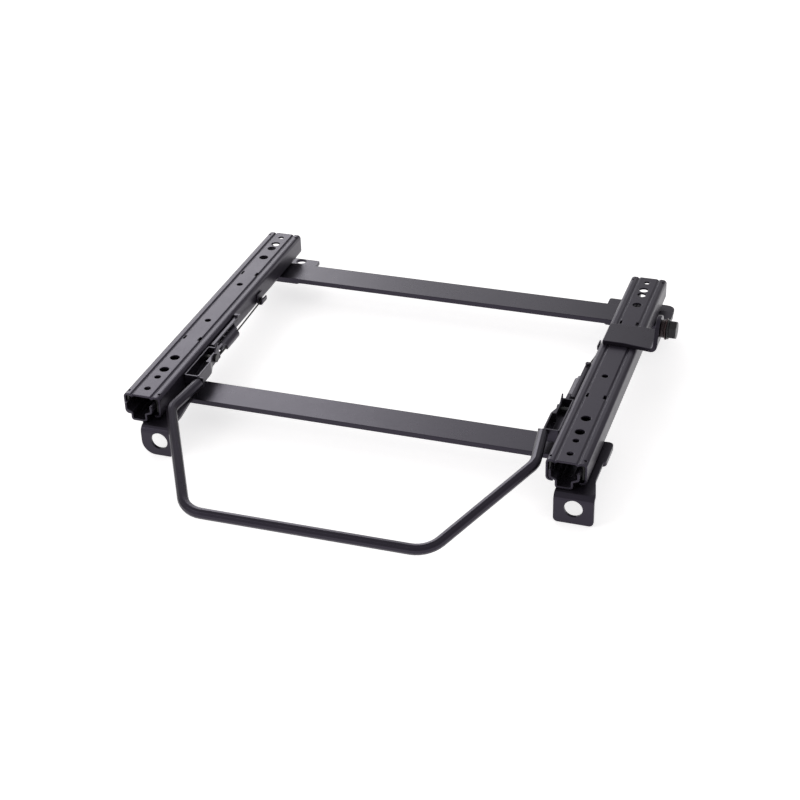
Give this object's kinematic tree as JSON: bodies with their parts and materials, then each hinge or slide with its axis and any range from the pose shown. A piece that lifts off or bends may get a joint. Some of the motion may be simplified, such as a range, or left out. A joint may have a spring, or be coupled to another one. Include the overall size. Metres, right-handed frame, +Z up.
{
  "type": "seat slide rail",
  "caption": "Pair of ball-bearing slide rails on flat cross straps and feet, with a bent round release bar across the front.",
  "frame": {"origin": "bottom centre of the whole object's box, level with the lower ends of the front feet", "axes": "+Z up, normal to the rail tops; +Y along the rails towards the rear of the seat; +X to the right"},
  "size_m": [0.483, 0.4685, 0.0808],
  "materials": {
    "black_paint": "semi-gloss black",
    "rail_paint": "semi-gloss black",
    "dark_fastener": "black zinc",
    "spring_wire": "dark oiled wire",
    "bearing_steel": "polished",
    "nylon": "matte"
  },
  "bodies": {
    "base": {"lower_rail_left": "black_paint", "lower_rail_right": "black_paint", "front_cross_strap": "black_paint", "rear_cross_strap": "black_paint", "front_left_foot": "black_paint", "front_right_foot": "black_paint", "rear_left_foot": "black_paint", "rear_right_foot": "black_paint"},
    "carriage": {"upper_rail_left": "rail_paint", "upper_rail_right": "rail_paint", "latch_bracket_left": "black_paint", "latch_bracket_right": "black_paint", "lever_pivot_pin_left": "dark_fastener", "lever_pivot_pin_right": "dark_fastener", "lock_hinge_rod_left": "dark_fastener", "lock_hinge_rod_right": "dark_fastener", "return_spring_left": "spring_wire", "return_spring_right": "spring_wire", "spring_hook_left": "black_paint", "spring_hook_right": "black_paint", "belt_bracket": "black_paint", "belt_bolt": "dark_fastener", "belt_collar": "dark_fastener", "belt_wave_washer": "dark_fastener", "belt_plain_washer": "dark_fastener"},
    "ball_cages": {"ball_retainer_left_inner": "nylon", "ball_retainer_left_outer": "nylon", "ball_retainer_right_inner": "nylon", "ball_retainer_right_outer": "nylon", "ball_left_inner_1": "bearing_steel", "ball_left_inner_2": "bearing_steel", "ball_left_inner_3": "bearing_steel", "ball_left_inner_4": "bearing_steel", "ball_left_outer_1": "bearing_steel", "ball_left_outer_2": "bearing_steel", "ball_left_outer_3": "bearing_steel", "ball_left_outer_4": "bearing_steel", "ball_right_inner_1": "bearing_steel", "ball_right_inner_2": "bearing_steel", "ball_right_inner_3": "bearing_steel", "ball_right_inner_4": "bearing_steel", "ball_right_outer_1": "bearing_steel", "ball_right_outer_2": "bearing_steel", "ball_right_outer_3": "bearing_steel", "ball_right_outer_4": "bearing_steel", "low_ball_left_inner_1": "bearing_steel", "low_ball_left_inner_2": "bearing_steel", "low_ball_left_outer_1": "bearing_steel", "low_ball_left_outer_2": "bearing_steel", "low_ball_right_inner_1": "bearing_steel", "low_ball_right_inner_2": "bearing_steel", "low_ball_right_outer_1": "bearing_steel", "low_ball_right_outer_2": "bearing_steel"},
    "bail": {"release_handle": "black_paint", "latch_lever_left": "black_paint", "latch_lever_right": "black_paint"},
    "lock_left": {"lock_plate_left": "black_paint"},
    "lock_right": {"lock_plate_right": "black_paint"}
  },
  "joints": [
    {"name": "seat_slide", "type": "slide", "parent": "base", "child": "carriage", "axis": [0, 1, 0], "range_m": [-0.11, 0.04]},
    {"name": "ball_cage_slide", "type": "slide", "parent": "base", "child": "ball_cages", "axis": [0, 1, 0], "range_m": [-0.055, 0.02]},
    {"name": "bail_lift", "type": "hinge", "parent": "carriage", "child": "bail", "pos_m": [0, -0.0227, 0.0422], "axis": [1, 0, 0], "range_deg": [0, 2.4], "stiffness_Nm_per_rad": 12, "springref_deg": 2.4},
    {"name": "lock_left_turn", "type": "hinge", "parent": "carriage", "child": "lock_left", "pos_m": [-0.187, 0.0253, 0.0328], "axis": [0, -1, 0], "range_deg": [0, 14.4]},
    {"name": "lock_right_turn", "type": "hinge", "parent": "carriage", "child": "lock_right", "pos_m": [0.166, 0.0253, 0.0328], "axis": [0, 1, 0], "range_deg": [0, 14.4]}
  ],
  "couplings": [
    {"joint": "ball_cage_slide", "follows": "seat_slide", "ratio": 0.5},
    {"joint": "lock_left_turn", "follows": "bail_lift", "ratio": 6},
    {"joint": "lock_right_turn", "follows": "bail_lift", "ratio": 6}
  ]
}
